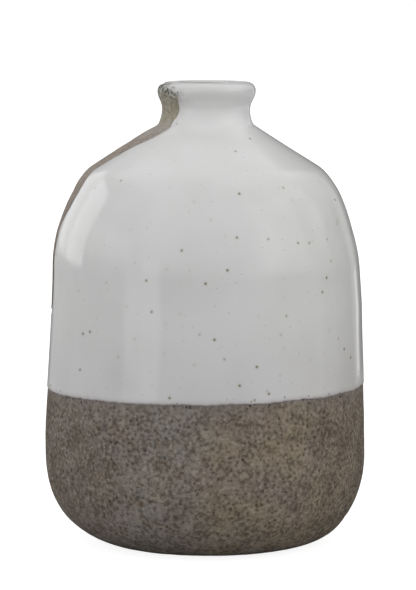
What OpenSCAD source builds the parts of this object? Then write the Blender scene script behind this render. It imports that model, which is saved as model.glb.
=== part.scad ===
// Stoneware bud vase: a closed, round-shouldered body with a short flared neck.
// The fired clay is modelled in the sections that a potter joins before firing.
// Two fired glaze coats cover it: a dipped white coat outside and a liner inside.
// Millimetres, +Z up, origin at the middle of the foot. The vase is turned about Z.

/* [Body] */
// Height of the glazed rim above the foot
vase_h = 160; // [157:0.5:175]
// Radius of the flat foot that the vase rests on
foot_r = 32.5; // [22:0.5:42]
// Radius of the belly, the widest place
belly_r = 56; // [54:0.5:62]
// Height of the belly
belly_z = 31; // [24:0.5:38]
// Radius at the top of the wall, where the shoulder begins
wall_top_r = 53; // [47:0.5:54]
// Height of the top of the wall
wall_top_z = 96; // [85:0.5:104]
// Lean of the wall from upright where the shoulder begins, in degrees
wall_lean = 2; // [0:0.5:8]
// Radius where the rounded shoulder turns into its straight slope
slope_r = 39; // [34:0.5:42]
// Height where the straight slope begins
slope_z = 130.5; // [124:0.5:134]
// Thickness of the clay wall and floor
wall_t = 5; // [4:0.25:6]

/* [Neck] */
// Radius of the crease between shoulder and neck
crease_r = 16.5; // [16:0.25:19]
// Height of the crease
crease_z = 145; // [143:0.5:147]
// Radius of the neck at its waist
waist_r = 15; // [14:0.25:16]
// Height of the waist
waist_z = 150.5; // [149:0.25:152]
// Outer radius of the lip
lip_r = 16.75; // [16:0.25:19]
// Drop from the rim to the widest place of the lip
lip_drop = 3; // [2:0.25:4]
// Width of the outer rounding of the lip
lip_round = 2.75; // [2:0.25:3.5]
// Radius of the mouth, clear through the glazed throat
mouth_r = 8.5; // [6:0.25:9.5]
// Rounding of the lip's inner edge
mouth_round = 1.25; // [0.75:0.25:1.75]

/* [Glaze] */
// Thickness of the white glaze and of the liner
glaze_t = 0.5; // [0.3:0.05:0.8]
// Height of the dip line, where the white glaze stops on the body
dip_z = 54; // [44:0.5:80]
// Height of the thinned edge of the glaze above the dip line
dip_edge_h = 0.8; // [0.4:0.1:2]

/* [Bare window] */
// Half width of the bare strip that the two dips leave on the side wall
window_wall_w = 8.5; // [4:0.5:12]
// Half width of the strip on the slope of the shoulder
window_slope_w = 12.5; // [10:0.5:20]
// Half width of the strip on the neck
window_neck_w = 11; // [6:0.5:11]
// Height of the lower end of the strip
window_z = 80; // [70:0.5:90]

/* [Quality] */
// Steps along each curve of the outline
curve_n = 12; // [6:1:16]

/* [Hidden] */

$fn = 96;
CLAY = [0.44, 0.41, 0.37];
GLAZE = [0.86, 0.86, 0.84];
LINER = [0.78, 0.78, 0.76];

// How far each curve's handles reach, as a share of the curve's own run
HEEL_FLAT = 0.62;
HEEL_STEEP = 0.54;
WALL_LOW = 0.3;
WALL_HIGH = 0.22;
SHOULDER_LOW = 0.32;
SHOULDER_HIGH = 0.22;
NECK_LOW = 0.5;
NECK_HIGH = 0.45;
ROUND = 0.5523; // handle share that makes a cubic curve follow a quarter circle

// Steps along each curve of the bare strip's edge
edge_n = ceil(curve_n / 2);
// Where the floor section ends, as a step along the heel
floor_joint = floor(curve_n / 2);

clay_h = vase_h - glaze_t;
lip_z = vase_h - lip_drop;
throat_r = mouth_r + glaze_t; // in the clay, behind the liner
slope_angle = atan2(crease_z - slope_z, slope_r - crease_r);
shoulder_run = norm([wall_top_r - slope_r, slope_z - wall_top_z]);
slope_along = [-cos(slope_angle), sin(slope_angle)];
lean_along = [-sin(wall_lean), cos(wall_lean)];

// A cubic curve and the unit tangent along it
function cubic(p, t) = pow(1 - t, 3) * p[0] + 3 * t * pow(1 - t, 2) * p[1]
    + 3 * t * t * (1 - t) * p[2] + pow(t, 3) * p[3];
function heading(p, t) = let (d = pow(1 - t, 2) * (p[1] - p[0])
    + 2 * t * (1 - t) * (p[2] - p[1]) + t * t * (p[3] - p[2])) d / norm(d);

// A path is a list of [point, outward vector], where the vector is one unit of thickness
function outward(along) = [along[1], -along[0]];
function walk(p) = [for (i = [0:curve_n])
    let (t = i / curve_n) [cubic(p, t), outward(heading(p, t))]];
function bend(p) = [for (i = [0:edge_n]) cubic(p, i / edge_n)];
function shift(path, d) = [for (q = path) q[0] + d * q[1]];
function mitre(a, b) = (a + b) / (1 + a * b);
function backwards(a) = [for (i = [len(a) - 1:-1:0]) a[i]];
function tail(a) = [for (i = [1:len(a) - 1]) a[i]];

// The outline of the clay, from the foot up to the crease
heel = [
    [foot_r, 0],
    [foot_r + HEEL_FLAT * (belly_r - foot_r), 0],
    [belly_r, belly_z * (1 - HEEL_STEEP)],
    [belly_r, belly_z]
];
wall_run = wall_top_z - belly_z;
wall = [
    [belly_r, belly_z],
    [belly_r, belly_z + WALL_LOW * wall_run],
    [wall_top_r, wall_top_z] - WALL_HIGH * wall_run * lean_along,
    [wall_top_r, wall_top_z]
];
shoulder = [
    [wall_top_r, wall_top_z],
    [wall_top_r, wall_top_z] + SHOULDER_LOW * shoulder_run * lean_along,
    [slope_r, slope_z] - SHOULDER_HIGH * shoulder_run * slope_along,
    [slope_r, slope_z]
];
slope_end = [[crease_r, crease_z], outward(slope_along)];

// The neck, from the crease to its waist, out to the lip and over to the mouth
waist = [
    [crease_r, crease_z],
    [crease_r, crease_z] + NECK_LOW * [waist_r - crease_r, (waist_z - crease_z) / 2],
    [waist_r, waist_z - NECK_HIGH * (waist_z - crease_z)],
    [waist_r, waist_z]
];
flare = [
    [waist_r, waist_z],
    [waist_r, waist_z + NECK_HIGH * (lip_z - waist_z)],
    [lip_r, lip_z - NECK_HIGH * (lip_z - waist_z)],
    [lip_r, lip_z]
];
lip = [
    [lip_r, lip_z],
    [lip_r, lip_z + ROUND * (clay_h - lip_z)],
    [lip_r - lip_round * (1 - ROUND), clay_h],
    [lip_r - lip_round, clay_h]
];
mouth = [
    [throat_r + mouth_round, clay_h],
    [throat_r + mouth_round * (1 - ROUND), clay_h],
    [throat_r, clay_h - mouth_round * (1 - ROUND)],
    [throat_r, clay_h - mouth_round]
];

round_path = concat(walk(heel), tail(walk(wall)), tail(walk(shoulder)));
body_path = concat(round_path, [slope_end]);
neck_path = concat(walk(waist), tail(walk(flare)), tail(walk(lip)), walk(mouth));
crease = [[crease_r, crease_z], mitre(slope_end[1], neck_path[0][1])];
outer_path = concat(round_path, [crease], tail(neck_path));
throat_top = clay_h - mouth_round;

// The inside of the slope runs on past the crease until it meets the throat
throat_low = shift([slope_end], -wall_t)[0][1]
    + (shift([slope_end], -wall_t)[0][0] - throat_r) * tan(slope_angle);
liner_low = throat_low - glaze_t / cos(slope_angle) + glaze_t * tan(slope_angle);

// Steps of body_path at which the clay sections meet
wall_step = floor_joint;
shoulder_step = 2 * curve_n;
crease_step = len(body_path) - 1;

// A section of the clay wall between two steps, turned about Z
module turned_section(from, to) {
    span = [for (i = [from:to]) body_path[i]];
    rotate_extrude()
        polygon(concat(shift(span, 0), backwards(shift(span, -wall_t))));
}

// The flat floor, with the start of the heel
module clay_floor() {
    span = [for (i = [0:wall_step]) body_path[i]];
    color(CLAY)
        rotate_extrude()
            polygon(concat([[0, 0]], shift(span, 0), backwards(shift(span, -wall_t)),
                [[0, wall_t]]));
}

// The upright wall, from the heel over the belly to the shoulder
module clay_wall() {
    color(CLAY)
        turned_section(wall_step, shoulder_step);
}

// The shoulder, rounded below and straight above
module clay_shoulder() {
    color(CLAY)
        turned_section(shoulder_step, crease_step);
}

// The collar: neck, lip and throat, luted to the shoulder on a bevelled joint
module clay_neck() {
    color(CLAY)
        rotate_extrude()
            polygon(concat(shift(neck_path, 0), [[throat_r, throat_low]],
                shift([slope_end], -wall_t)));
}

// Half of the bare strip's outline, as half width against height
window_edge = concat(
    bend([[0, window_z], [window_wall_w * 0.55, window_z],
        [window_wall_w, window_z + 4], [window_wall_w, window_z + 10]]),
    tail(bend([[window_wall_w, window_z + 10], [window_wall_w, wall_top_z + 15],
        [window_slope_w - 1.5, wall_top_z + 26], [window_slope_w, slope_z]])),
    tail(bend([[window_slope_w, slope_z], [window_slope_w + 0.5, slope_z + 9],
        [window_neck_w + 1, crease_z - 2], [window_neck_w, waist_z]])),
    [[window_neck_w, vase_h + 5]]
);

// What stays bare: the strip on the -X side that neither dip reached
module window_cutter() {
    reach = belly_r + 10;
    depth = sqrt(pow(waist_r, 2) - pow(window_neck_w, 2));
    translate([-reach, 0, 0])
        rotate([90, 0, 90])
            linear_extrude(reach - depth)
                polygon(concat(window_edge,
                    backwards([for (p = tail(window_edge)) [-p[0], p[1]]])));
}

// The dipped white coat, from the dip line over the lip to the top of the throat
module glaze_coat() {
    above = [for (q = outer_path) if (q[0][1] > dip_z + dip_edge_h) q];
    under = [for (q = body_path) if (q[0][1] <= dip_z) q];
    last = under[len(under) - 1][0];
    next = [for (q = body_path) if (q[0][1] > dip_z) q][0][0];
    dip_r = last[0] + (next[0] - last[0]) * (dip_z - last[1]) / (next[1] - last[1]);
    color(GLAZE)
        difference() {
            rotate_extrude()
                polygon(concat([[dip_r, dip_z]], shift(above, glaze_t),
                    backwards(shift(above, 0))));
            window_cutter();
        }
}

// The liner glaze that makes the vase hold water, up to the top of the throat
module glaze_liner() {
    color(LINER)
        rotate_extrude()
            polygon(concat(
                [[0, wall_t]], shift(body_path, -wall_t),
                [[throat_r, throat_low], [throat_r, throat_top]],
                [[mouth_r, throat_top], [mouth_r, liner_low]],
                backwards(shift(body_path, -wall_t - glaze_t)), [[0, wall_t + glaze_t]]));
}

clay_floor();
clay_wall();
clay_shoulder();
clay_neck();
glaze_coat();
glaze_liner();
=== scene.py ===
"""Looks of the stoneware bud vase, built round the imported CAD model.

Lengths are in millimetres until a mesh is made, and MM turns them into Blender's metres.
Angles round the vase (phi) start at the front, which faces -Y, and grow towards -X.
"""
import math

import bpy
import numpy as np
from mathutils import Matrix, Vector


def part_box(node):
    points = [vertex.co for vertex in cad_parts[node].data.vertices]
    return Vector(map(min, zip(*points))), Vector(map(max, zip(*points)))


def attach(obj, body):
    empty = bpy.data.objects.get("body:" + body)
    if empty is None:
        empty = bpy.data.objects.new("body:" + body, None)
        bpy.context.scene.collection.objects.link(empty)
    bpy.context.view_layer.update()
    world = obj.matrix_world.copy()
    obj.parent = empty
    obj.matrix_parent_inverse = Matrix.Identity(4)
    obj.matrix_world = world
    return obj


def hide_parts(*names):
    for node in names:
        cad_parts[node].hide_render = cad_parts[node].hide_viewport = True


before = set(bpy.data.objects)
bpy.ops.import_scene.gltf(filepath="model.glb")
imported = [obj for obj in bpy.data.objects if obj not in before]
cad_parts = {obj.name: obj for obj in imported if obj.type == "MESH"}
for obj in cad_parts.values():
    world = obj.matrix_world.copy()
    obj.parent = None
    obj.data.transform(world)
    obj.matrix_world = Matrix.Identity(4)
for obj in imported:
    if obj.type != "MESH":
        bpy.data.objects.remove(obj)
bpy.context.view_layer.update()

MM = 0.001


# ---------------------------------------------------------------- dimensions
def node_box(name):
    """Lowest and highest corner of a CAD node, in millimetres."""
    low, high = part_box(name)
    return Vector(low) / MM, Vector(high) / MM


VASE_H = node_box("glaze_coat")[1].z
DIP_Z = node_box("glaze_coat")[0].z
BELLY_R = node_box("clay_wall")[1].x
WALL_T = node_box("glaze_liner")[0].z
MOUTH_R = 8.5
GLAZE_T = 0.5
THROAT_R = MOUTH_R + GLAZE_T
CLAY_H = VASE_H - GLAZE_T
FOOT_R = 32.5
BELLY_Z = 31.0
WALL_TOP = np.array([53.0, 96.0])
WALL_LEAN = math.radians(2)
SLOPE = np.array([39.0, 130.5])
CREASE = np.array([16.5, 145.0])
WAIST = np.array([15.0, 150.5])
LIP_R = 16.75
LIP_Z = VASE_H - 3.0
LIP_ROUND = 2.75
MOUTH_ROUND = 1.25
CREASE_FILLET = 0.7
ROUND = 0.5523  # handle share that makes a cubic follow a quarter circle

# How far the handles of the outline's curves reach, as shares of each curve's own run
HEEL_FLAT = 0.62
HEEL_LOW = 0.46
WALL_LOW = 0.3
WALL_HIGH = 0.22
SHOULDER_LOW = 0.32
SHOULDER_HIGH = 0.22
LIP_FLARE = 0.45
FILLET_SHARE = 0.35
# The same for the neck's waist, in millimetres
WAIST_LOW = 1.6
WAIST_HIGH = 1.9
BODY_STEPS = 160  # points along each of the body's long curves


# ------------------------------------------------------------------- outline
def unit(v):
    return v / np.linalg.norm(v)


def cubic(p, steps):
    """Points along a cubic curve, and the unit vector square to it, outward of the clay."""
    p = np.array(p, float)
    t = np.linspace(0, 1, steps + 1)[:, None]
    points = ((1 - t) ** 3 * p[0] + 3 * t * (1 - t) ** 2 * p[1]
              + 3 * t * t * (1 - t) * p[2] + t**3 * p[3])
    along = ((1 - t) ** 2 * (p[1] - p[0]) + 2 * t * (1 - t) * (p[2] - p[1])
             + t * t * (p[3] - p[2]))
    along /= np.linalg.norm(along, axis=1)[:, None]
    return points, np.stack([along[:, 1], -along[:, 0]], 1)


def straight(a, b, steps=40):
    return cubic([a, a + (b - a) / 3, a + (b - a) * 2 / 3, b], steps)


lean = np.array([-math.sin(WALL_LEAN), math.cos(WALL_LEAN)])
slope_dir = unit(CREASE - SLOPE)
slope_out = np.array([slope_dir[1], -slope_dir[0]])
neck_dir = unit(np.array([WAIST[0] - CREASE[0], (WAIST[1] - CREASE[1]) / 2]))
wall_run = WALL_TOP[1] - BELLY_Z
shoulder_run = np.linalg.norm(WALL_TOP - SLOPE)
fillet_low = CREASE - CREASE_FILLET * slope_dir
fillet_high = CREASE + CREASE_FILLET * neck_dir
lip_handle = LIP_FLARE * (LIP_Z - WAIST[1])
lip_end = LIP_R - LIP_ROUND
mouth_start = THROAT_R + MOUTH_ROUND
throat_top = CLAY_H - MOUTH_ROUND

SEGMENTS = {
    "heel": cubic([[FOOT_R, 0], [FOOT_R + HEEL_FLAT * (BELLY_R - FOOT_R), 0],
                   [BELLY_R, HEEL_LOW * BELLY_Z], [BELLY_R, BELLY_Z]], BODY_STEPS),
    "wall": cubic([[BELLY_R, BELLY_Z], [BELLY_R, BELLY_Z + WALL_LOW * wall_run],
                   WALL_TOP - WALL_HIGH * wall_run * lean, WALL_TOP], BODY_STEPS),
    "shoulder": cubic([WALL_TOP, WALL_TOP + SHOULDER_LOW * shoulder_run * lean,
                       SLOPE - SHOULDER_HIGH * shoulder_run * slope_dir, SLOPE], BODY_STEPS),
    "slope": straight(SLOPE, fillet_low),
    "crease": cubic([fillet_low, CREASE - FILLET_SHARE * CREASE_FILLET * slope_dir,
                     CREASE + FILLET_SHARE * CREASE_FILLET * neck_dir, fillet_high], 16),
    "waist": cubic([fillet_high, fillet_high + WAIST_LOW * neck_dir,
                    WAIST - [0, WAIST_HIGH], WAIST], 40),
    "flare": cubic([WAIST, WAIST + [0, lip_handle],
                    [LIP_R, LIP_Z - lip_handle], [LIP_R, LIP_Z]], 60),
    "lip": cubic([[LIP_R, LIP_Z], [LIP_R, LIP_Z + ROUND * (CLAY_H - LIP_Z)],
                  [LIP_R - LIP_ROUND * (1 - ROUND), CLAY_H], [lip_end, CLAY_H]], 40),
    "rim": straight(np.array([lip_end, CLAY_H]), np.array([mouth_start, CLAY_H])),
    "mouth": cubic([[mouth_start, CLAY_H], [THROAT_R + MOUTH_ROUND * (1 - ROUND), CLAY_H],
                    [THROAT_R, CLAY_H - MOUTH_ROUND * (1 - ROUND)],
                    [THROAT_R, throat_top]], 24),
}


class Outline:
    """The clay's outside from the foot's edge to the top of the throat, by distance along it."""

    def __init__(self, segments):
        points, normals, ends = [], [], {}
        for name, (p, n) in segments.items():
            points += list(p[bool(points):])
            normals += list(n[bool(normals):])
            ends[name] = len(points) - 1
        self.points, self.normals = np.array(points), np.array(normals)
        steps = np.linalg.norm(np.diff(self.points, axis=0), axis=1)
        self.s = np.concatenate([[0], np.cumsum(steps)])
        self.end = {name: self.s[i] for name, i in ends.items()}

    def at(self, s):
        """Points and outward vectors, in radius and height, at these distances."""
        def pick(table):
            return np.stack([np.interp(s, self.s, column) for column in table.T], -1)
        normals = pick(self.normals)
        return pick(self.points), normals / np.linalg.norm(normals, axis=-1)[..., None]

    def at_height(self, z):
        """Distance along the outline where the body reaches height z."""
        body = self.s <= self.end["slope"]
        return float(np.interp(z, self.points[body, 1], self.s[body]))


outline = Outline(SEGMENTS)
S_FLOOR = outline.s[BODY_STEPS // 2]  # half way along the heel, where the CAD's floor ends
S_WALL_TOP = outline.end["wall"]
S_CREASE = (outline.end["slope"] + outline.end["crease"]) / 2
S_THROAT = outline.end["mouth"]


# ------------------------------------------------------- unevenness of the hand
def smooth(x):
    x = np.clip(x, 0, 1)
    return x * x * (3 - 2 * x)


def waves(p, seed, shortest, longest, count=28):
    """A smooth undulation between -1 and 1: plane waves of mixed lengths and directions."""
    rng = np.random.default_rng(seed)
    total = np.zeros(p.shape[:-1])
    for _ in range(count):
        direction = unit(rng.normal(size=3))
        length = rng.uniform(shortest, longest)
        total += np.sin(p @ direction * (2 * np.pi / length) + rng.uniform(0, 2 * np.pi))
    return np.tanh(total * 1.3 / math.sqrt(count))


def lattice_noise(p, cell, seed):
    """3-D value noise between -1 and 1 with lattice cells of this size."""
    side = 48  # the lattice repeats after so many cells
    table = np.random.default_rng(seed).uniform(-1, 1, (side, side, side))
    q = p / cell
    base = np.floor(q).astype(int)
    f = smooth(q - base)
    total = np.zeros(p.shape[:-1])
    for corner in np.ndindex(2, 2, 2):
        weight = np.prod(np.where(np.array(corner), f, 1 - f), axis=-1)
        i, j, k = np.moveaxis((base + corner) % side, -1, 0)
        total += weight * table[i, j, k]
    return total


def pits(p, cell, radius, share, seed):
    """Round pits, 0 at their rims and 1 at their middles: one in a share of the lattice cells."""
    side = 40  # the lattice repeats after so many cells
    table = np.random.default_rng(seed).uniform(0, 1, (side, side, side, 5))
    q = p / cell
    base = np.floor(q).astype(int)
    deepest = np.zeros(p.shape[:-1])
    for corner in np.ndindex(3, 3, 3):
        at = base + corner - 1
        i, j, k = np.moveaxis(at % side, -1, 0)
        draw = table[i, j, k]
        away = np.linalg.norm(p - (at + draw[..., :3]) * cell, axis=-1)
        r = radius * (0.5 + draw[..., 3])
        deepest = np.maximum(deepest, np.where(draw[..., 4] < share, smooth(1 - away / r), 0))
    return deepest


# Height, and how far the vase's middle strays sideways there, as thrown by hand
SWAY = np.array([[0, 0.7], [4, 0.4], [9, -0.1], [24, -0.05], [38, -0.25], [57, 0.0], [83, 0.45],
                 [95, 0.2], [109, -0.35], [122, 0.15], [137, -0.45], [146, -0.1], [160, 0.3]])
HEEL_LIFT = 0.7  # how much higher the heel hangs on the left than on the right
UNDULATION = 0.16  # half the depth of the thrown surface's slow waves
GRAIN_DEPTH = 0.16
PIT_DEPTH = 0.22  # the bare clay's pits, besides its grain


def by_hand(p):
    """How far the thrown surface lies inside the true round shape at these points."""
    height = p[..., 2]
    # The waves die out towards the foot, and are slighter on the neck
    calm = smooth(height / 6) * (1 - 0.75 * smooth((height - 140) / 10))
    uneven = 0.75 * waves(p, 3, 34, 80) + 0.25 * waves(p, 4, 15, 26)
    return UNDULATION * calm * (1 + uneven)


def clay_relief(p, pitted):
    """Depth of the bare clay's grain and pits."""
    grain = 0.5 + 0.2 * lattice_noise(p, 5.0, 11) + 0.2 * lattice_noise(p, 2.2, 12)
    grain += 0.1 * lattice_noise(p, 1.2, 13)
    return GRAIN_DEPTH * grain + PIT_DEPTH * pitted


def put(phi, radius, height):
    """Points in space, swayed and lifted as the hand-thrown body is."""
    x = -radius * np.sin(phi)
    y = -radius * np.cos(phi)
    sway = np.interp(height, SWAY[:, 0], SWAY[:, 1])
    near_heel = smooth((radius - FOOT_R) / 10) * (1 - smooth((height - 4) / 16))
    lift = HEEL_LIFT * near_heel * smooth(0.5 - x / 90)
    return np.stack([x + sway, y, height + lift], -1)


# The bare strip's edge: half width against height, on the -X side
STRIP_EDGE = np.array([[0, 79.5], [4.5, 80.5], [7.6, 84], [8.7, 91], [8.8, 106], [8.9, 111],
                       [10.2, 114], [12.0, 118], [12.7, 124], [11.7, 128.5], [11.2, 133],
                       [11.9, 137.5], [13.2, 141], [13.1, 143.2], [11.5, 145.3], [11.4, 146.8],
                       [11.9, 149], [12.2, 152], [13.3, 154.6], [13.0, 156.2], [11.5, 157.4],
                       [9.0, 158.4], [7.5, 159.4], [7.5, 170]])
STRIP_PROUD = 0.65  # how far the bare strip stands out, nearly level with the glaze round it
STRIP_LOW = 66.0  # below this height no bare clay belongs to the strip
S_CROWN = outline.end["lip"] - 0.6  # how far over the lip the strip reaches
FAR = 99.0  # stands for a distance to an edge that isn't there
DIP_RISE = 0.75  # how far the ragged dip line lies above the CAD's, in the middle
DIP_TILT = 0.7  # how much higher the dip line is at the right than in the middle

GLAZE_EDGE = 0.8  # width of the coat's rounded edge
GLAZE_DRAINED = 0.55  # share of the coat's thickness that is lost just over the dip line
GLAZE_SUNK = 0.2  # how far the coat's underside sits in the clay
GLAZE_COLUMNS = 340
EDGE_LOOPS = (0.0, 0.12, 0.35, GLAZE_EDGE)  # where the rounded edge has its rows of points


def distance_to_strip(y, z):
    """Distance to the edge of the bare strip, negative within it, seen square to the -X side."""
    p = np.stack([np.abs(y), z], -1)
    best = np.full(z.shape, 1e9)
    for a, b in zip(STRIP_EDGE, STRIP_EDGE[1:]):
        t = np.clip(((p - a) @ (b - a)) / ((b - a) @ (b - a)), 0, 1)
        best = np.minimum(best, np.linalg.norm(p - a - t[..., None] * (b - a), axis=-1))
    half = np.interp(z, STRIP_EDGE[:, 1], STRIP_EDGE[:, 0], left=-1)
    return np.where(np.abs(y) < half, -best, best)


def glaze_cover(phi, s):
    """How far inside the glazed area a point is. Where it is negative, the clay is bare."""
    (r, z), _ = (np.moveaxis(a, -1, 0) for a in outline.at(s))
    x, y = -r * np.sin(phi), -r * np.cos(phi)
    place = np.stack([x, y, z], -1)
    ragged = 0.2 * waves(place, 31, 14, 40) + 0.14 * waves(place, 32, 2.0, 5)
    above_dip = np.where(s < S_WALL_TOP, z - (DIP_Z + DIP_RISE + DIP_TILT * x / BELLY_R), FAR)
    beside_strip = np.where(x < 0, np.maximum(distance_to_strip(y, z), s - S_CROWN), FAR)
    return np.minimum(above_dip, beside_strip) + ragged


def on_outline(phi, s, outward=0.0, relief=False):
    """Points at angles phi and distances s along the outline, and the depth of the pits there."""
    phi, s = np.broadcast_arrays(phi, s)
    (r, z), (nr, nz) = (np.moveaxis(a, -1, 0) for a in outline.at(s))
    true = np.stack([-r * np.sin(phi), -r * np.cos(phi), z], -1)
    pitted = np.zeros(r.shape)
    depth = by_hand(true)
    if relief:
        pitted = pits(true, 2.6, 0.62, 0.3, 21)
        depth = depth + clay_relief(true, pitted) * smooth(s / 3)
    depth = depth - outward
    return put(phi, r - depth * nr, z - depth * nz), pitted


def bare(phi, s):
    """The bare clay's points, the depth of its pits and its distance from the glaze."""
    phi, s = np.broadcast_arrays(phi, s)
    cover = glaze_cover(phi, s)
    in_strip = smooth((-cover - 0.2) / 1.6) * (s > outline.at_height(STRIP_LOW))
    in_strip *= 1 - 0.7 * smooth((s - S_CREASE + 6) / 7)  # it stands out less on the neck
    return *on_outline(phi, s, STRIP_PROUD * in_strip, relief=True), cover


# -------------------------------------------------------------------- meshes
SHARP_ANGLE = math.radians(62)


def make_piece(name, points, faces, material, replaced, slot, **attributes):
    """A smooth mesh with its sharp joint edges, riding on the vase in place of a CAD node.

    Each attribute holds one number for a point, which the material reads.
    """
    mesh = bpy.data.meshes.new(name)
    mesh.from_pydata((points * MM).tolist(), [], faces)
    for key, values in attributes.items():
        attribute = mesh.attributes.new(key, "FLOAT", "POINT")
        attribute.data.foreach_set("value", values.astype(np.float32))
    mesh.validate()
    mesh.update()
    mesh.shade_smooth()
    mesh.set_sharp_from_angle(angle=SHARP_ANGLE)
    mesh.materials.append(material)
    piece = bpy.data.objects.new(name, mesh)
    bpy.context.scene.collection.objects.link(piece)
    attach(piece, "root")
    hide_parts(replaced)


def grid_faces(rows, columns, closed):
    """Outward quads of rows that run round the axis; closed joins the last row to the first."""
    row = np.arange(rows if closed else rows - 1)[:, None]
    low, high = row * columns, (row + 1) % rows * columns
    here = np.arange(columns)[None, :]
    there = (here + 1) % columns
    quads = np.stack([low + here, high + here, high + there, low + there], -1)
    return quads.reshape(-1, 4).tolist()


def turned(name, bands, columns, material, replaced, slot, poles=None):
    """A closed lathe piece from bands of rows: their points, pits and distances from the glaze.

    poles are the heights of its two ends on the axis. Without them, its last row joins its first.
    """
    points, pitted, cover = (np.concatenate(parts) for parts in zip(*bands))
    points, pitted, cover = points.reshape(-1, 3), pitted.ravel(), cover.ravel()
    rows = len(points) // columns
    faces = grid_faces(rows, columns, closed=poles is None)
    if poles:
        first, last = len(points), len(points) + 1
        top = (rows - 1) * columns
        for i in range(columns):
            j = (i + 1) % columns
            faces.append([first, i, j])
            faces.append([last, top + j, top + i])
        points = np.concatenate([points, [[0, 0, poles[0]], [0, 0, poles[1]]]])
        pitted = np.concatenate([pitted, [0, 0]])
        cover = np.concatenate([cover, [FAR, FAR]])
    make_piece(name, points, faces, material, replaced, slot, pit=pitted, cover_mm=cover)


def spaced(start, end, step):
    """Distances from start to end, about one step apart."""
    return np.linspace(start, end, max(2, round(abs(end - start) / step) + 1))


def angles(columns):
    return np.arange(columns) * (2 * np.pi / columns)


def plain_rows(phi, path):
    """Rows of the true round shape, without relief."""
    path = np.array(path, float)
    x = -path[:, :1] * np.sin(phi)
    y = -path[:, :1] * np.cos(phi)
    points = np.stack([x, y, np.broadcast_to(path[:, 1:], x.shape)], -1)
    return points, np.zeros(x.shape), np.full(x.shape, FAR)


def inner_path(start, end, step, depth):
    """The outline pushed inwards, for the walls that nobody sees."""
    points, normals = outline.at(spaced(start, end, step))
    return points - depth * normals


# ----------------------------------------------------------------- materials
def srgb(code):
    """A linear colour from a hexadecimal one."""
    parts = [int(code[i:i + 2], 16) / 255 for i in (0, 2, 4)]
    return (*[c / 12.92 if c <= 0.04045 else ((c + 0.055) / 1.055) ** 2.4 for c in parts], 1)


def grey(level):
    """A linear grey."""
    return level, level, level, 1


class Graph:
    """Adds nodes to a tree, and gives back each new node's output. Sizes are in millimetres."""

    def __init__(self, tree):
        self.tree = tree
        tree.nodes.clear()

    def node(self, kind, inputs=None, out=0, **settings):
        """A node with these settings. Its inputs, by name or number, are values or outputs."""
        node = self.tree.nodes.new(kind)
        for key, value in settings.items():
            setattr(node, key, value)
        for key, value in (inputs or {}).items():
            if isinstance(value, bpy.types.NodeSocket):
                self.tree.links.new(value, node.inputs[key])
            else:
                node.inputs[key].default_value = value
        return node.outputs[out] if node.outputs else None

    def math(self, operation, a, b=0.0):
        return self.node("ShaderNodeMath", {0: a, 1: b}, operation=operation)

    def add(self, a, b):
        return self.math("ADD", a, b)

    def times(self, a, b):
        return self.math("MULTIPLY", a, b)

    def span(self, value, low, high, to_low=0.0, to_high=1.0):
        """A smooth step of value from low to high."""
        inputs = {0: value, 1: low, 2: high, 3: to_low, 4: to_high}
        return self.node("ShaderNodeMapRange", inputs, interpolation_type="SMOOTHSTEP")

    def within(self, value, low, high, soft):
        """1 between low and high, with soft edges."""
        return self.times(self.span(value, low - soft, low + soft),
                          self.span(value, high + soft, high - soft))

    def mix(self, share, a, b, blend="MIX"):
        return self.node("ShaderNodeMix", {0: share, 6: a, 7: b}, out=2, data_type="RGBA",
                         blend_type=blend)

    def tint(self, tone, share, code):
        """The tone, with a share of another colour over it."""
        return self.mix(share, tone, srgb(code))

    def axes(self, vector):
        """A vector's x, y and z."""
        return self.node("ShaderNodeSeparateXYZ", {0: vector}).node.outputs

    def length(self, vector):
        return self.node("ShaderNodeVectorMath", {0: vector}, out="Value", operation="LENGTH")

    def attribute(self, name):
        return self.node("ShaderNodeAttribute", out="Fac", attribute_name=name)

    def millimetres(self):
        place = self.node("ShaderNodeTexCoord", out="Object")
        return self.node("ShaderNodeVectorMath", {0: place, "Scale": 1 / MM}, operation="SCALE")

    def moved(self, place, *by):
        """The place moved, so that one layer's pattern doesn't follow another's."""
        return self.node("ShaderNodeVectorMath", {0: place, 1: by}, operation="ADD")

    def noise(self, place, size, detail=2.0, roughness=0.5):
        inputs = {"Vector": place, "Scale": 1 / size, "Detail": detail, "Roughness": roughness}
        return self.node("ShaderNodeTexNoise", inputs)

    def wander(self, value, noise, reach, low=0.3, high=0.7):
        """The value shifted by noise, so that an edge set by it isn't straight."""
        return self.add(value, self.span(noise, low, high, -reach, reach))

    def spots(self, place, cell, radius, soft, share=1.0):
        """1 in round spots scattered over a share of the cells, falling to 0 over the soft rim."""
        inputs = {"Vector": place, "Scale": 1 / cell}
        away = self.node("ShaderNodeTexVoronoi", inputs, out="Distance")
        spot = self.span(away, (radius + soft) / cell, (radius - soft) / cell)
        draw = self.axes(away.node.outputs["Color"])[0]
        return self.times(spot, self.math("LESS_THAN", draw, share))

    def bump(self, height, depth, strength):
        inputs = {"Strength": strength, "Distance": depth * MM, "Height": height}
        return self.node("ShaderNodeBump", inputs)

    def finish(self, inputs):
        shader = self.node("ShaderNodeBsdfPrincipled", inputs)
        self.node("ShaderNodeOutputMaterial", {"Surface": shader})


def new_material(name):
    material = bpy.data.materials.new(name)
    material.use_nodes = True
    return material, Graph(material.node_tree)


DARK_PIT = "3a312a"


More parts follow.
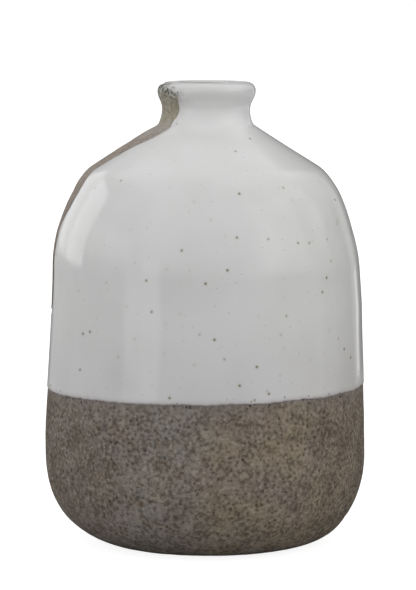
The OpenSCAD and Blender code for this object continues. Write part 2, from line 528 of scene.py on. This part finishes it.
def clay_material():
    """Coarse bare stoneware: taupe, greyer at the left and browner at the right, with dark pits."""
    material, g = new_material("bare_stoneware")
    place = g.millimetres()
    x, _, z = g.axes(place)
    pit = g.attribute("pit")
    beside = g.attribute("cover_mm")  # 0 at the glaze, and lower further into the bare clay

    # Broad drifts of colour, and painted shade that darkens the clay towards the two sides
    broad = g.noise(place, 22, 3)
    drift = g.add(g.span(x, -60, 60, -0.24, 0.24), broad)
    tone = g.mix(g.span(drift, 0.3, 0.75), srgb("8a857f"), srgb("918470"))
    plum = g.noise(g.moved(place, 40, 2, 9), 15, 2)
    tone = g.tint(tone, g.span(plum, 0.42, 0.62, 0, 0.6), "857873")
    # Painted shade: the clay is darkened towards both sides, where the studio leaves it in shade
    side_shade = g.wander(g.math("ABSOLUTE", x), broad, 8)
    tone = g.tint(tone, g.span(side_shade, 32, 58, 0, 0.85), "655c52")

    # Brown mottle and a fine pale grain
    mottle = g.noise(g.moved(place, 31, 7, 5), 4.5, 4, 0.6)
    tone = g.tint(tone, g.span(mottle, 0.4, 0.66, 0, 0.75), "74685b")
    sand = g.noise(g.moved(place, 3, 1, 47), 0.6, 3, 0.7)
    tone = g.tint(tone, g.span(sand, 0.35, 0.75, 0, 0.22), "a89e92")

    # Dark hollows and pale crests of the grain, which gathers in clusters
    cluster = g.span(g.noise(g.moved(place, 5, 17, 3), 8, 2), 0.32, 0.68, -0.05, 0.05)
    worn = g.add(g.noise(g.moved(place, 8, 3, 1), 1.3, 3, 0.45), cluster)
    hollow = g.span(worn, 0.51, 0.34)
    crest = g.span(worn, 0.53, 0.72)
    tone = g.tint(tone, g.times(hollow, 0.5), "42382f")
    crowded = g.span(g.noise(g.moved(place, 1, 23, 6), 7, 2), 0.36, 0.6, 0.15, 0.75)
    dots = g.spots(g.moved(place, 4, 4, 1), 1.9, 0.46, 0.34, crowded)
    tone = g.tint(tone, g.times(dots, 0.66), DARK_PIT)
    tone = g.tint(tone, g.times(crest, 0.42), "b3a99c")
    grains = g.spots(g.moved(place, 9, 2, 6), 2.4, 0.26, 0.16)
    tone = g.tint(tone, g.times(grains, 0.6), "bdb3a6")
    tone = g.tint(tone, g.span(pit, 0.1, 0.7, 0, 0.7), DARK_PIT)

    # Beside the glaze the clay is paler, and dark crumbs lie along the line
    tone = g.tint(tone, g.span(beside, -5, -0.5, 0, 0.3), "8d8780")
    tone = g.tint(tone, g.span(beside, -1.1, -0.1, 0, 0.35), "8b8384")
    gathered = g.span(g.noise(place, 6, 2), 0.4, 0.56, 0.15, 0.95)
    crumbs = g.spots(g.moved(place, 6, 1, 2), 1.7, 0.42, 0.2, gathered)
    crumbs = g.times(crumbs, g.span(beside, -2.2, -0.9))
    tone = g.tint(tone, g.times(crumbs, 0.85), "2e2723")

    # The strip is paler on the shoulder, and has a greenish wash on the neck
    tone = g.tint(tone, g.span(g.wander(z, broad, 6), 92, 120, 0, 0.5), "b0a49c")
    upper = g.wander(z, g.noise(place, 3, 2), 2)
    tone = g.tint(tone, g.span(upper, 139, 143.5, 0, 0.5), "b9b6b0")
    wash = g.span(g.wander(z, g.noise(place, 2.5, 3), 1.2), 145.6, 146.6)
    cloud = g.noise(place, 2.2, 3, 0.6)
    washed = g.mix(g.span(cloud, 0.38, 0.62), srgb("a49e8c"), srgb("b2ac9d"))
    washed = g.tint(washed, g.times(hollow, 0.3), "6d6a5c")
    tone = g.mix(wash, tone, washed)

    # Chips of glaze along the neck's strip, and a mottled patch on the lip
    chips = g.spots(g.moved(place, 2, 9, 4), 1.5, 0.42, 0.16, 0.6)
    chips = g.times(g.times(chips, g.span(beside, -2.6, -1.0)), g.span(z, 146, 150))
    tone = g.tint(tone, g.times(chips, 0.8), "cfcdc9")
    lip = g.wander(z, g.noise(place, 1.8, 2), 1, 0.35, 0.65)
    patch = g.mix(g.span(worn, 0.46, 0.56), srgb("4d4c4a"), srgb("b9b9b5"))
    tone = g.mix(g.span(lip, 155, 156.4, 0, 0.85), tone, patch)

    height = g.math("SUBTRACT", crest, g.times(hollow, 1.6))
    height = g.add(g.times(g.noise(place, 0.6, 3, 0.65), 0.35), height)
    g.finish({"Base Color": tone, "Normal": g.bump(height, 0.12, 0.8),
              "Roughness": g.span(g.noise(place, 3, 2), 0.3, 0.7, 0.8, 0.96),
              "IOR": 1.45, "Specular IOR Level": 0.2})
    return material


def glaze_material():
    """Glossy off-white glaze with iron speckles, thin and greyed at its edge."""
    material, g = new_material("white_speckled_glaze")
    place = g.millimetres()
    x, _, z = g.axes(place)
    edge = g.attribute("edge_mm")  # 0 at the coat's edge, and higher further in
    tone = g.mix(g.span(g.noise(place, 30, 2), 0.35, 0.65), srgb("e3e3e3"), srgb("dddddc"))
    tone = g.mix(g.span(z, 86, 56), tone, g.mix(1.0, tone, srgb("f5f4f5"), "MULTIPLY"))

    # Specks are fewer on the shoulder, and gather over the dip line on the right
    gathered = g.times(g.span(x, 26, 40), g.span(z, 68, 60))
    share = g.add(g.span(z, 142, 104, 0.14, 0.62), g.times(gathered, 0.4))
    iron = g.spots(place, 4.9, 0.42, 0.25, share)
    halo = g.spots(place, 4.9, 0.8, 0.5, share)
    fine = g.spots(g.moved(place, 13, 5, 8), 3.1, 0.2, 0.12)
    tone = g.tint(tone, g.times(halo, 0.2), "aaa07c")
    tone = g.tint(tone, g.times(iron, 0.8), "665a3a")
    tone = g.tint(tone, g.times(fine, 0.45), "8a8272")

    # The clay shows through the thin edge, with dark crumbs beside it
    tone = g.tint(tone, g.span(edge, 2.2, 0.2, 0, 0.5), "bdb6b4")
    tone = g.tint(tone, g.span(edge, 0.8, 0.0, 0, 0.75), "9b9395")
    crowded = g.span(g.noise(place, 6, 2), 0.45, 0.6, 0.04, 0.6)
    crumbs = g.spots(g.moved(place, 6, 1, 2), 1.9, 0.32, 0.18, crowded)
    crumbs = g.times(crumbs, g.span(edge, 2.6, 1.2))
    tone = g.tint(tone, g.times(crumbs, 0.75), "4a423f")

    # Greyer flecks on the lip beside the strip, and painted shade: a grey ring where the mouth
    # begins
    on_lip = g.span(z, 152, 156)
    fleck = g.span(g.noise(place, 1.7, 2, 0.5), 0.36, 0.64, 0, 1.7)
    flecked = g.span(g.math("SUBTRACT", edge, fleck), 1.2, -1.5, 0, 0.6)
    tone = g.tint(tone, g.times(on_lip, flecked), "85827d")
    across = g.node("ShaderNodeVectorMath", {0: place, 1: (1, 1, 0)}, operation="MULTIPLY")
    # Painted shade just inside the mouth, where the throat falls into shadow
    ring = g.span(g.length(across), 9.7, 8.7, 0, 0.8)
    tone = g.tint(tone, g.times(on_lip, ring), "9b9a97")

    # Painted light makes the neck a little whiter, and the right side is a little warmer
    # Painted light: the neck's glaze is lightened towards white
    pale = g.times(g.span(z, 141, 147), g.span(z, 157, 152.5))
    tone = g.mix(pale, tone, g.tint(tone, 0.38, "ffffff"))
    tone = g.mix(g.span(x, 5, 56, 0, 0.35), tone, g.mix(1.0, tone, srgb("faf9f0"), "MULTIPLY"))

    height = g.add(g.noise(place, 3.5, 1), g.times(iron, -0.3))
    g.finish({"Base Color": tone, "Normal": g.bump(height, 0.03, 0.5), "IOR": 1.52,
              "Roughness": g.span(g.noise(g.moved(place, 2, 2, 2), 12, 3), 0.3, 0.7, 0.07, 0.13)})
    return material


def shaded_liner_material():
    """The liner glaze: the same white, speckled, and painted greyer for the shade inside the vase.
    """
    material, g = new_material("liner_glaze")
    place = g.millimetres()
    # Painted shade: the liner's white is darkened to grey
    tone = g.mix(g.span(g.noise(place, 9, 3), 0.35, 0.65), srgb("b5b3ad"), srgb("a3a09a"))
    tone = g.tint(tone, g.times(g.spots(place, 4.5, 0.4, 0.2), 0.7), "6a5d48")
    g.finish({"Base Color": tone, "Normal": g.bump(g.noise(place, 4), 0.04, 0.4), "IOR": 1.5,
              "Roughness": g.span(g.noise(place, 10), 0.3, 0.7, 0.12, 0.2)})
    return material


# ------------------------------------------------------------------ the clay
COLUMNS = 600
NECK_COLUMNS = 300
# Heights of the rows of points: fine where the clay shows, wide where nobody sees it
BARE_ROW = 0.6
GLAZED_ROW = 1.3
SHOULDER_ROW = 0.75
NECK_ROW = 0.4
THROAT_ROW = 3.0
UNDERSIDE_ROW = 1.6
HIDDEN_ROW = 4.0
FLOOR_POLE_R = 4.0  # radius of the last row before the middle of the floor

clay = clay_material()
around = angles(COLUMNS)
s_dip = outline.at_height(DIP_Z + 4)

underside = plain_rows(around, [[r, 0] for r in spaced(2, FOOT_R - 1.5, UNDERSIDE_ROW)])
heel = bare(around, spaced(0, S_FLOOR, BARE_ROW)[:, None])
floor_inside = plain_rows(around, np.concatenate(
    [inner_path(S_FLOOR, 0, HIDDEN_ROW, WALL_T), [[FLOOR_POLE_R, WALL_T]]]))
turned("vase_floor", [underside, heel, floor_inside], COLUMNS, clay, "clay_floor", "bare_clay",
       poles=(0, WALL_T))

bare_wall = bare(around, spaced(S_FLOOR, s_dip, BARE_ROW)[:, None])
glazed_wall = bare(around, spaced(s_dip, S_WALL_TOP, GLAZED_ROW)[1:, None])
wall_inside = plain_rows(around, inner_path(S_WALL_TOP, S_FLOOR, HIDDEN_ROW, WALL_T))
turned("vase_wall", [bare_wall, glazed_wall, wall_inside], COLUMNS, clay, "clay_wall", "bare_clay")

slope_end = CREASE - WALL_T * slope_out
shoulder_outside = bare(around, spaced(S_WALL_TOP, S_CREASE, SHOULDER_ROW)[:, None])
shoulder_inside = plain_rows(around, np.concatenate(
    [[slope_end], inner_path(outline.end["slope"], S_WALL_TOP, HIDDEN_ROW, WALL_T)]))
turned("vase_shoulder", [shoulder_outside, shoulder_inside], COLUMNS, clay, "clay_shoulder",
       "bare_clay")

neck_around = angles(NECK_COLUMNS)
throat_low = slope_end + slope_dir * (slope_end[0] - THROAT_R) / -slope_dir[0]
neck_outside = bare(neck_around, spaced(S_CREASE, S_THROAT, NECK_ROW)[:, None])
throat_heights = spaced(throat_top, throat_low[1], THROAT_ROW)[1:]
throat = plain_rows(neck_around, [[THROAT_R, z] for z in throat_heights] + [slope_end])
turned("vase_neck", [neck_outside, throat], NECK_COLUMNS, clay, "clay_neck", "bare_clay")


# ----------------------------------------------------------------- the liner
LINER_COLUMNS = 160
LINER_ROW = 3.0
LINER_POLE_R = 6.0  # radius of the last row before the liner's middle

liner_around = angles(LINER_COLUMNS)
liner_low = slope_end - GLAZE_T * slope_out
liner_low = liner_low + slope_dir * (liner_low[0] - MOUTH_R) / -slope_dir[0]
clay_side = np.concatenate([[[LINER_POLE_R, WALL_T]],
                            inner_path(0, outline.end["slope"], LINER_ROW, WALL_T), [throat_low],
                            [[THROAT_R, z] for z in spaced(throat_low[1], throat_top, 2)[1:]]])
hollow_side = np.concatenate([[[MOUTH_R, z] for z in spaced(throat_top, liner_low[1], 1)],
                              inner_path(outline.end["slope"], 0, LINER_ROW, WALL_T + GLAZE_T),
                              [[LINER_POLE_R, WALL_T + GLAZE_T]]])
turned("inner_glaze", [plain_rows(liner_around, clay_side), plain_rows(liner_around, hollow_side)],
       LINER_COLUMNS, shaded_liner_material(), "glaze_liner", "liner_glaze",
       poles=(WALL_T, WALL_T + GLAZE_T))


# ------------------------------------------------------------ the white coat
def split_at(level, polygons, phi, s, cover):
    """Cuts each polygon along the line where cover is at this level.

    Points that nearly lie on the line count as on it, which leaves no slivers.
    """
    cover = np.where(np.abs(cover - level) < 0.05, level, cover)
    phi, s, new_cover = list(phi), list(s), []
    cut = {}

    def crossing(a, b):
        key = (min(a, b), max(a, b))
        if key not in cut:
            t = (level - cover[a]) / (cover[b] - cover[a])
            turn = (phi[b] - phi[a] + np.pi) % (2 * np.pi) - np.pi  # the short way round
            cut[key] = len(phi)
            phi.append(phi[a] + t * turn)
            s.append(s[a] + t * (s[b] - s[a]))
            new_cover.append(level)
        return cut[key]

    kept = []
    for polygon in polygons:
        side = [np.sign(cover[i] - level) for i in polygon]
        if min(side) >= 0 or max(side) <= 0:
            kept.append(polygon)
            continue
        halves = {1: [], -1: []}
        for k, i in enumerate(polygon):
            j = polygon[(k + 1) % len(polygon)]
            here, there = side[k], side[(k + 1) % len(polygon)]
            for way in halves:
                if here in (way, 0):
                    halves[way].append(i)
            if here * there < 0:
                point = crossing(i, j)
                halves[1].append(point)
                halves[-1].append(point)
        kept += [half for half in halves.values() if len(half) > 2]
    return kept, np.array(phi), np.array(s), np.concatenate([cover, new_cover])


def coat_rows():
    """Distances along the outline, closest at the dip line, the crease and the mouth."""
    low, fine = outline.at_height(DIP_Z - 1.2), outline.at_height(DIP_Z + 3)
    rows = [spaced(low, fine, 0.5), spaced(fine, S_WALL_TOP, 2.0)[1:]]
    start = S_WALL_TOP
    for segment, step in (("shoulder", 1.4), ("slope", 1.8), ("crease", 0.25), ("waist", 0.7),
                          ("flare", 0.7), ("lip", 0.4), ("rim", 0.8), ("mouth", 0.3)):
        rows.append(spaced(start, outline.end[segment], step)[1:])
        start = outline.end[segment]
    return np.concatenate(rows)


def coat_thickness(s, cover):
    """Full over the shoulder and neck, thinner just over the dip line, and rounded at the edge."""
    heights = outline.at(s)[0][..., 1]
    thick = GLAZE_T * (1 - GLAZE_DRAINED * (1 - smooth((heights - 64) / 22)))
    return thick * np.sqrt(1 - (1 - np.clip(cover / GLAZE_EDGE, 0, 1)) ** 2)


def white_coat():
    """The dipped coat as a closed shell with a rounded edge."""
    rows = coat_rows()
    phi, s = (a.ravel() for a in np.meshgrid(angles(GLAZE_COLUMNS), rows))
    polygons = grid_faces(len(rows), GLAZE_COLUMNS, closed=False)
    cover = glaze_cover(phi, s)
    for level in EDGE_LOOPS:
        polygons, phi, s, cover = split_at(level, polygons, phi, s, cover)
        if level == 0:
            polygons = [p for p in polygons if max(cover[i] for i in p) > 0]

    # Only the points that are still in use
    used = np.unique(np.concatenate([np.array(p) for p in polygons]))
    renumber = np.zeros(len(phi), int)
    renumber[used] = np.arange(len(used))
    polygons = [renumber[p].tolist() for p in polygons]
    phi, s, cover = phi[used], s[used], cover[used]

    # The outside, the underside in the clay, and the walls between their borders
    outside, _ = on_outline(phi, s, coat_thickness(s, cover))
    underside, _ = on_outline(phi, s, -GLAZE_SUNK)
    n = len(outside)
    edges = dict.fromkeys((a, b) for p in polygons for a, b in zip(p, p[1:] + p[:1]))
    border = [(a, b) for a, b in edges if (b, a) not in edges]
    faces = polygons + [[i + n for i in reversed(p)] for p in polygons]
    faces += [[b, a, a + n, b + n] for a, b in border]
    make_piece("white_glaze", np.concatenate([outside, underside]), faces, glaze_material(),
               "glaze_coat", "white_glaze", edge_mm=np.concatenate([cover, cover]))


white_coat()


# --------------------------------------------------------------------- stage
FLOOR_R = 4.0  # metres, as are all lengths from here on
FLOOR_GLOW = 0.88
DOME_GLOW = 1.05
TABLE_R = 0.5
TABLE_DROP = 0.0002  # keeps the bounce floor just under the one that the camera sees
DISC_SIDES = 96
DOME_RINGS, DOME_SPOKES = 12, 48
DOME_DROP = 0.3


def glowing_material(name, colour, glow):
    """A matt surface that also glows a little, so that the studio stays pale."""
    material, g = new_material(name)
    g.finish({"Base Color": colour, "Roughness": 0.9, "Specular IOR Level": 0.1,
              "Emission Color": grey(1), "Emission Strength": glow})
    return material


def bounce_material():
    """The grey of a table that lights the vase from below: palest close by, darkest in front."""
    material, g = new_material("bounce_grey")
    place = g.millimetres()
    far_grey = g.mix(g.span(g.axes(place)[1], 60, 500), grey(0.16), grey(0.3))
    near = g.span(g.length(place), 230, 90)
    g.finish({"Base Color": g.mix(near, far_grey, grey(0.42)), "Roughness": 0.9})
    return material


def stage_piece(name, points, faces, material):
    mesh = bpy.data.meshes.new(name)
    mesh.from_pydata(points, [], faces)
    mesh.materials.append(material)
    thing = bpy.data.objects.new(name, mesh)
    bpy.context.scene.collection.objects.link(thing)
    return thing


def disc(name, radius, height, material):
    ring = [(radius * math.cos(a), radius * math.sin(a), height) for a in angles(DISC_SIDES)]
    return stage_piece(name, ring, [list(range(DISC_SIDES))], material)


def dome(name, material):
    """The backdrop: most of a half sphere over the floor, closed at the top."""
    points = [(FLOOR_R * math.cos(e) * math.cos(a), FLOOR_R * math.cos(e) * math.sin(a),
               FLOOR_R * math.sin(e) - DOME_DROP)
              for e in np.linspace(-0.05, math.pi / 2 - 0.02, DOME_RINGS)
              for a in angles(DOME_SPOKES)]
    faces = [[i * DOME_SPOKES + j, i * DOME_SPOKES + (j + 1) % DOME_SPOKES,
              (i + 1) * DOME_SPOKES + (j + 1) % DOME_SPOKES, (i + 1) * DOME_SPOKES + j]
             for i in range(DOME_RINGS - 1) for j in range(DOME_SPOKES)]
    faces.append(list(range((DOME_RINGS - 1) * DOME_SPOKES, DOME_RINGS * DOME_SPOKES)))
    return stage_piece(name, points, faces, material)


def camera_only(thing):
    """The vase's light and reflections come from the world and the bounce floor alone."""
    thing.visible_diffuse = False
    thing.visible_glossy = False
    thing.visible_shadow = False


camera_only(disc("floor", FLOOR_R, 0, glowing_material("floor_white", grey(0.4), FLOOR_GLOW)))
disc("bounce_floor", TABLE_R, -TABLE_DROP, bounce_material()).visible_camera = False
camera_only(dome("backdrop", glowing_material("backdrop_white", grey(0), DOME_GLOW)))

# The studio, as seen from the vase: azimuth 0 is in front and 90 on the left, all in degrees.
# Each panel has its azimuths, its elevations, the softness of its edges, and the radiance that
# it adds to the room's. A black flag takes light away, though never more than there is.
ROOM = 0.47
PANELS = [
    ("front fill", (-112, 60), (2, 47), 4, 0.28),
    ("right window", (-84, -44), (5, 42), 2, 0.56),
    ("right wall", (-112, -34), (-9, 47), 6, 0.22),
    ("black flag, right corner", (-112, -94), (-9, 12), 4, -0.42),
    ("left key", (17, 52), (8, 62), 2, 0.36),
    ("left low", (58, 104), (6, 24), 4, 0.72),
    ("left back", (106, 130), (-1, 32), 2, 1.6),
    ("left back, far", (130, 152), (-1, 32), 2, 0.9),
    ("left back, low", (128, 160), (-9, -1), 3, 0.05),
    ("front top", (-70, 60), (47, 72), 3, 0.26),
    ("right top", (-150, -70), (34, 70), 5, 0.28),
    ("left strip", (34, 47), (-9, 10), 1.5, 0.95),
    ("left strip, low", (47, 62), (-9, 2), 3, 0.85),
    ("far right", (-152, -145), (-9, -3.4), 1, 0.65),
    ("black flag, right", (-139, -112), (-9, 12), 4, -0.4),
    ("black flag, high right", (-150, -112), (12, 34), 4, -0.15),
    ("black flag, behind right", (-176, -153), (-9, 60), 3, -0.4),
    ("black flag, behind left", (159, 175), (-9, 60), 3, -0.3),
]
# The softbox overhead, by its directions' x / z and y / z, with its softness and radiance
OVERHEAD = (-0.9, 0.9), (-0.29, 0.95), 0.03, 0.3
OVERHEAD_LOWEST = 0.05  # keeps the division by z sound at the horizon


def light_studio():
    """A world of panels, which gives the vase its light and its reflections."""
    world = bpy.data.worlds.new("studio")
    world.use_nodes = True
    bpy.context.scene.world = world
    g = Graph(world.node_tree)
    east, north, up = g.axes(g.node("ShaderNodeTexCoord", out="Generated"))
    azimuth = g.math("DEGREES", g.math("ARCTAN2", g.times(east, -1), g.times(north, -1)))
    elevation = g.math("DEGREES", g.math("ARCSINE", up))
    light = ROOM
    for _, turn, height, soft, radiance in PANELS:
        panel = g.times(g.within(azimuth, *turn, soft), g.within(elevation, *height, soft))
        light = g.add(light, g.times(panel, radiance))
    width, reach, soft, radiance = OVERHEAD
    across, along = (g.math("DIVIDE", v, g.math("MAXIMUM", up, OVERHEAD_LOWEST))
                     for v in (east, north))
    panel = g.times(g.within(across, *width, soft), g.within(along, *reach, soft))
    light = g.add(light, g.times(panel, radiance))
    shine = g.node("ShaderNodeBackground", {"Color": grey(1), "Strength": light})
    g.node("ShaderNodeOutputWorld", {"Surface": shine})


light_studio()


# -------------------------------------------------------------------- camera
CAMERA_FOCAL = 193.26  # millimetres
CAMERA_SENSOR = 36
CAMERA_PLACE = (0.00087, -1.0965, 0.2069)
CAMERA_DOWN = 6.305  # degrees below level

camera_data = bpy.data.cameras.new("camera")
camera_data.lens = CAMERA_FOCAL
camera_data.sensor_width = CAMERA_SENSOR
camera_data.clip_end = 50
camera = bpy.data.objects.new("camera", camera_data)
camera.location = CAMERA_PLACE
camera.rotation_euler = (math.radians(90 - CAMERA_DOWN), 0, 0)
bpy.context.scene.collection.objects.link(camera)
bpy.context.scene.camera = camera
bpy.context.scene.view_settings.view_transform = "Standard"

bpy.context.view_layer.update()
